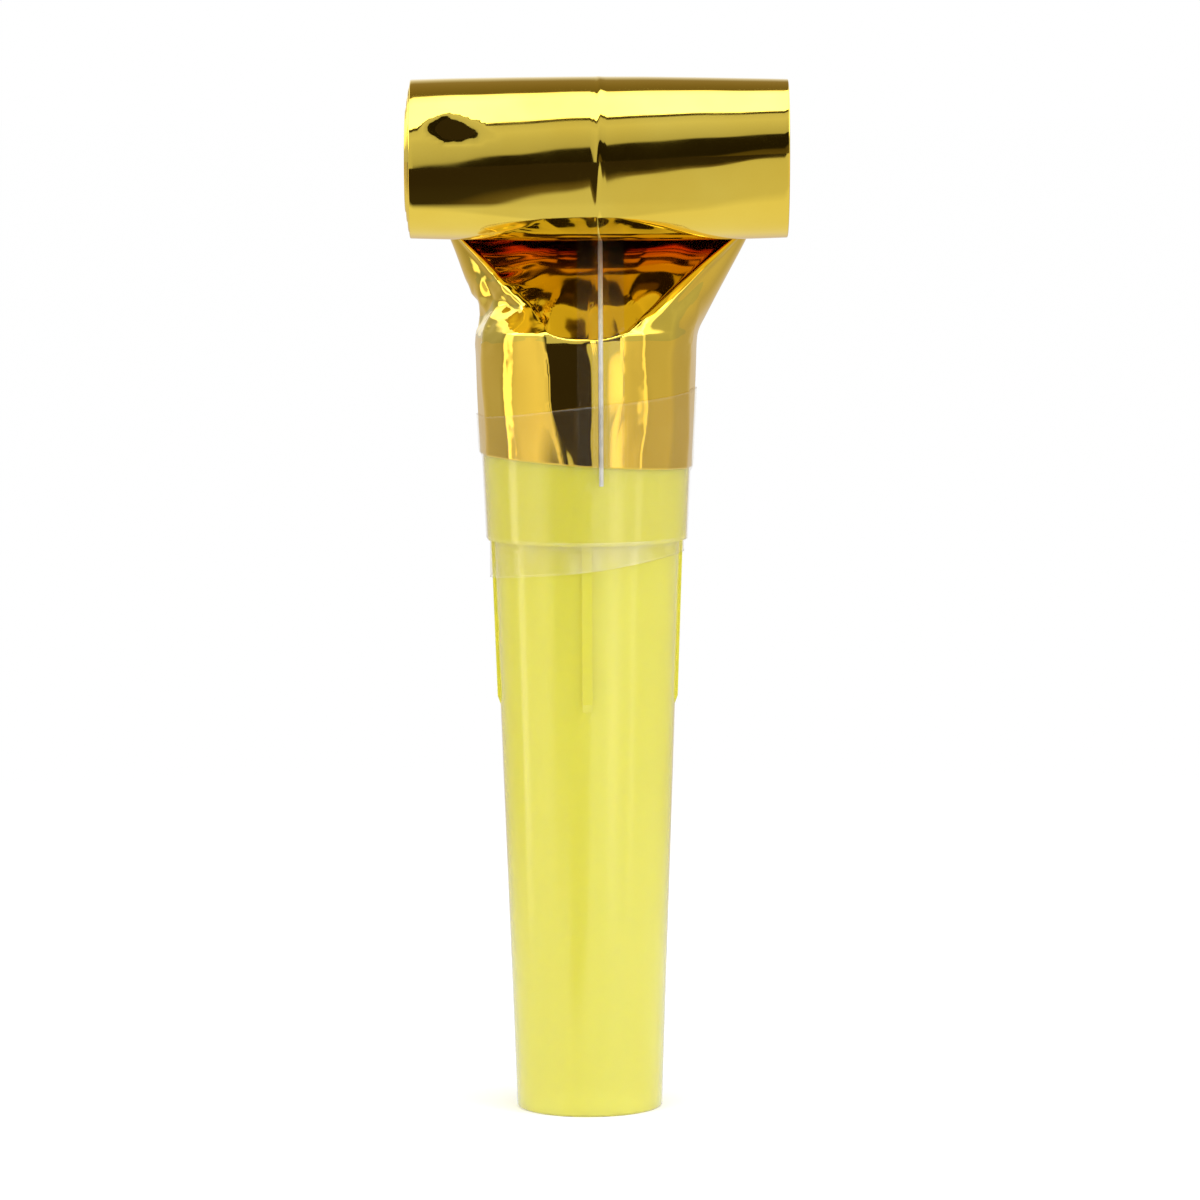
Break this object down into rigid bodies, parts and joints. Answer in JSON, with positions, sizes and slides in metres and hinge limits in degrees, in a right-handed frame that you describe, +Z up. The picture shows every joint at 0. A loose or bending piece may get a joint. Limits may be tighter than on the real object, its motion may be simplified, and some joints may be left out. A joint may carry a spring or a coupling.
{
  "type": "party horn blower",
  "caption": "Party horn blower: tapered translucent mouthpiece with a reed inside, and a flat foil tube rolled up by a curl wire, which unrolls into a long strip when blown.",
  "frame": {"origin": "centre of the mouth end, which the blower stands on", "axes": "+Z up along the mouthpiece towards the roll; -Y towards the front, the side the roll hangs over; +X to the right seen from the front"},
  "size_m": [0.049, 0.0306, 0.1338],
  "materials": {
    "yellow_plastic": "translucent, satin",
    "ivory_plastic": "satin",
    "tongue_film": "satin",
    "gold_foil": "metallised, mirror gold",
    "spring_wire": "drawn",
    "clear_tape": "clear, glossy"
  },
  "bodies": {
    "base": {"mouthpiece": "yellow_plastic", "reed_body": "ivory_plastic", "reed_collar": "ivory_plastic", "foil_neck": "gold_foil", "neck_wire": "spring_wire", "wire_tape": "clear_tape", "joint_tape": "clear_tape"},
    "tongue": {"reed_tongue": "tongue_film"},
    "turn_01": {"foil_01": "gold_foil", "wire_01": "spring_wire"},
    "turn_02": {"foil_02": "gold_foil", "wire_02": "spring_wire"},
    "turn_03": {"foil_03": "gold_foil", "wire_03": "spring_wire"},
    "turn_04": {"foil_04": "gold_foil", "wire_04": "spring_wire"},
    "turn_05": {"foil_05": "gold_foil", "wire_05": "spring_wire"},
    "turn_06": {"foil_06": "gold_foil", "wire_06": "spring_wire"},
    "turn_07": {"foil_07": "gold_foil", "wire_07": "spring_wire"},
    "turn_08": {"foil_08": "gold_foil", "wire_08": "spring_wire"},
    "turn_09": {"foil_09": "gold_foil", "wire_09": "spring_wire"},
    "turn_10": {"foil_10": "gold_foil", "wire_10": "spring_wire"},
    "turn_11": {"foil_11": "gold_foil", "wire_11": "spring_wire"},
    "turn_12": {"foil_12": "gold_foil", "wire_12": "spring_wire"},
    "turn_13": {"foil_13": "gold_foil", "wire_13": "spring_wire"},
    "turn_14": {"foil_14": "gold_foil", "wire_14": "spring_wire"},
    "turn_15": {"foil_15": "gold_foil", "wire_15": "spring_wire"},
    "turn_16": {"foil_16": "gold_foil", "wire_16": "spring_wire"},
    "turn_17": {"foil_17": "gold_foil", "wire_17": "spring_wire"},
    "turn_18": {"foil_18": "gold_foil", "wire_18": "spring_wire"},
    "turn_19": {"foil_19": "gold_foil", "wire_19": "spring_wire"},
    "turn_20": {"foil_20": "gold_foil", "wire_20": "spring_wire"},
    "turn_21": {"foil_21": "gold_foil", "wire_21": "spring_wire"},
    "turn_22": {"foil_22": "gold_foil", "wire_22": "spring_wire"},
    "turn_23": {"foil_23": "gold_foil", "wire_23": "spring_wire"},
    "turn_24": {"foil_24": "gold_foil", "wire_24": "spring_wire"},
    "turn_25": {"foil_25": "gold_foil", "wire_25": "spring_wire", "tip_seal": "gold_foil"}
  },
  "joints": [
    {"name": "tongue_flex", "type": "hinge", "parent": "base", "child": "tongue", "pos_m": [0, -0.0003, 0.0733], "axis": [1, 0, 0], "range_deg": [-1.5, 2.4], "stiffness_Nm_per_rad": 0.002},
    {"name": "unroll_01", "type": "hinge", "parent": "base", "child": "turn_01", "pos_m": [0.0019, 0.0052, 0.1228], "axis": [-1, 0, 0], "range_deg": [0, 25.21], "stiffness_Nm_per_rad": 0.008},
    {"name": "unroll_02", "type": "hinge", "parent": "turn_01", "child": "turn_02", "pos_m": [0.0019, 0.00121, 0.13129], "axis": [-1, 0, 0], "range_deg": [0, 50.71], "stiffness_Nm_per_rad": 0.008},
    {"name": "unroll_03", "type": "hinge", "parent": "turn_02", "child": "turn_03", "pos_m": [0.0019, -0.00785, 0.13356], "axis": [-1, 0, 0], "range_deg": [0, 51.31], "stiffness_Nm_per_rad": 0.008},
    {"name": "unroll_04", "type": "hinge", "parent": "turn_03", "child": "turn_04", "pos_m": [0.0019, -0.01523, 0.12794], "axis": [-1, 0, 0], "range_deg": [0, 51.91], "stiffness_Nm_per_rad": 0.008},
    {"name": "unroll_05", "type": "hinge", "parent": "turn_04", "child": "turn_05", "pos_m": [0.0019, -0.01537, 0.11872], "axis": [-1, 0, 0], "range_deg": [0, 52.51], "stiffness_Nm_per_rad": 0.008},
    {"name": "unroll_06", "type": "hinge", "parent": "turn_05", "child": "turn_06", "pos_m": [0.0019, -0.00819, 0.11304], "axis": [-1, 0, 0], "range_deg": [0, 53.11], "stiffness_Nm_per_rad": 0.008},
    {"name": "unroll_07", "type": "hinge", "parent": "turn_06", "child": "turn_07", "pos_m": [0.0019, 0.00059, 0.11536], "axis": [-1, 0, 0], "range_deg": [0, 53.71], "stiffness_Nm_per_rad": 0.008},
    {"name": "unroll_08", "type": "hinge", "parent": "turn_07", "child": "turn_08", "pos_m": [0.0019, 0.0039, 0.12374], "axis": [-1, 0, 0], "range_deg": [0, 54.31], "stiffness_Nm_per_rad": 0.008},
    {"name": "unroll_09", "type": "hinge", "parent": "turn_08", "child": "turn_09", "pos_m": [0.0019, -0.00093, 0.13125], "axis": [-1, 0, 0], "range_deg": [0, 54.91], "stiffness_Nm_per_rad": 0.008},
    {"name": "unroll_10", "type": "hinge", "parent": "turn_09", "child": "turn_10", "pos_m": [0.0019, -0.00977, 0.13161], "axis": [-1, 0, 0], "range_deg": [0, 55.5], "stiffness_Nm_per_rad": 0.008},
    {"name": "unroll_11", "type": "hinge", "parent": "turn_10", "child": "turn_11", "pos_m": [0.0019, -0.01501, 0.1246], "axis": [-1, 0, 0], "range_deg": [0, 56.1], "stiffness_Nm_per_rad": 0.008},
    {"name": "unroll_12", "type": "hinge", "parent": "turn_11", "child": "turn_12", "pos_m": [0.0019, -0.01216, 0.11643], "axis": [-1, 0, 0], "range_deg": [0, 56.7], "stiffness_Nm_per_rad": 0.008},
    {"name": "unroll_13", "type": "hinge", "parent": "turn_12", "child": "turn_13", "pos_m": [0.0019, -0.00386, 0.11436], "axis": [-1, 0, 0], "range_deg": [0, 57.3], "stiffness_Nm_per_rad": 0.008},
    {"name": "unroll_14", "type": "hinge", "parent": "turn_13", "child": "turn_14", "pos_m": [0.0019, 0.00229, 0.12015], "axis": [-1, 0, 0], "range_deg": [0, 57.9], "stiffness_Nm_per_rad": 0.008},
    {"name": "unroll_15", "type": "hinge", "parent": "turn_14", "child": "turn_15", "pos_m": [0.0019, 0.00067, 0.12832], "axis": [-1, 0, 0], "range_deg": [0, 58.5], "stiffness_Nm_per_rad": 0.008},
    {"name": "unroll_16", "type": "hinge", "parent": "turn_15", "child": "turn_16", "pos_m": [0.0019, -0.00702, 0.13117], "axis": [-1, 0, 0], "range_deg": [0, 59.1], "stiffness_Nm_per_rad": 0.008},
    {"name": "unroll_17", "type": "hinge", "parent": "turn_16", "child": "turn_17", "pos_m": [0.0019, -0.01332, 0.12611], "axis": [-1, 0, 0], "range_deg": [0, 59.7], "stiffness_Nm_per_rad": 0.008},
    {"name": "unroll_18", "type": "hinge", "parent": "turn_17", "child": "turn_18", "pos_m": [0.0019, -0.01215, 0.11825], "axis": [-1, 0, 0], "range_deg": [0, 60.3], "stiffness_Nm_per_rad": 0.008},
    {"name": "unroll_19", "type": "hinge", "parent": "turn_18", "child": "turn_19", "pos_m": [0.0019, -0.00488, 0.11542], "axis": [-1, 0, 0], "range_deg": [0, 60.9], "stiffness_Nm_per_rad": 0.008},
    {"name": "unroll_20", "type": "hinge", "parent": "turn_19", "child": "turn_20", "pos_m": [0.0019, 0.00102, 0.12031], "axis": [-1, 0, 0], "range_deg": [0, 61.49], "stiffness_Nm_per_rad": 0.008},
    {"name": "unroll_21", "type": "hinge", "parent": "turn_20", "child": "turn_21", "pos_m": [0.0019, -0.00043, 0.12768], "axis": [-1, 0, 0], "range_deg": [0, 62.09], "stiffness_Nm_per_rad": 0.008},
    {"name": "unroll_22", "type": "hinge", "parent": "turn_21", "child": "turn_22", "pos_m": [0.0019, -0.00747, 0.1298], "axis": [-1, 0, 0], "range_deg": [0, 62.69], "stiffness_Nm_per_rad": 0.008},
    {"name": "unroll_23", "type": "hinge", "parent": "turn_22", "child": "turn_23", "pos_m": [0.0019, -0.01247, 0.12463], "axis": [-1, 0, 0], "range_deg": [0, 63.29], "stiffness_Nm_per_rad": 0.008},
    {"name": "unroll_24", "type": "hinge", "parent": "turn_23", "child": "turn_24", "pos_m": [0.0019, -0.01016, 0.11801], "axis": [-1, 0, 0], "range_deg": [0, 63.89], "stiffness_Nm_per_rad": 0.008},
    {"name": "unroll_25", "type": "hinge", "parent": "turn_24", "child": "turn_25", "pos_m": [0.0019, -0.00337, 0.11719], "axis": [-1, 0, 0], "range_deg": [0, 64.49], "stiffness_Nm_per_rad": 0.008}
  ],
  "couplings": [
    {"joint": "unroll_02", "follows": "unroll_01", "ratio": 2.0119},
    {"joint": "unroll_03", "follows": "unroll_01", "ratio": 2.0356},
    {"joint": "unroll_04", "follows": "unroll_01", "ratio": 2.0594},
    {"joint": "unroll_05", "follows": "unroll_01", "ratio": 2.0832},
    {"joint": "unroll_06", "follows": "unroll_01", "ratio": 2.1069},
    {"joint": "unroll_07", "follows": "unroll_01", "ratio": 2.1307},
    {"joint": "unroll_08", "follows": "unroll_01", "ratio": 2.1545},
    {"joint": "unroll_09", "follows": "unroll_01", "ratio": 2.1782},
    {"joint": "unroll_10", "follows": "unroll_01", "ratio": 2.202},
    {"joint": "unroll_11", "follows": "unroll_01", "ratio": 2.2258},
    {"joint": "unroll_12", "follows": "unroll_01", "ratio": 2.2495},
    {"joint": "unroll_13", "follows": "unroll_01", "ratio": 2.2733},
    {"joint": "unroll_14", "follows": "unroll_01", "ratio": 2.2971},
    {"joint": "unroll_15", "follows": "unroll_01", "ratio": 2.3208},
    {"joint": "unroll_16", "follows": "unroll_01", "ratio": 2.3446},
    {"joint": "unroll_17", "follows": "unroll_01", "ratio": 2.3684},
    {"joint": "unroll_18", "follows": "unroll_01", "ratio": 2.3921},
    {"joint": "unroll_19", "follows": "unroll_01", "ratio": 2.4159},
    {"joint": "unroll_20", "follows": "unroll_01", "ratio": 2.4397},
    {"joint": "unroll_21", "follows": "unroll_01", "ratio": 2.4634},
    {"joint": "unroll_22", "follows": "unroll_01", "ratio": 2.4872},
    {"joint": "unroll_23", "follows": "unroll_01", "ratio": 2.511},
    {"joint": "unroll_24", "follows": "unroll_01", "ratio": 2.5347},
    {"joint": "unroll_25", "follows": "unroll_01", "ratio": 2.5585}
  ]
}
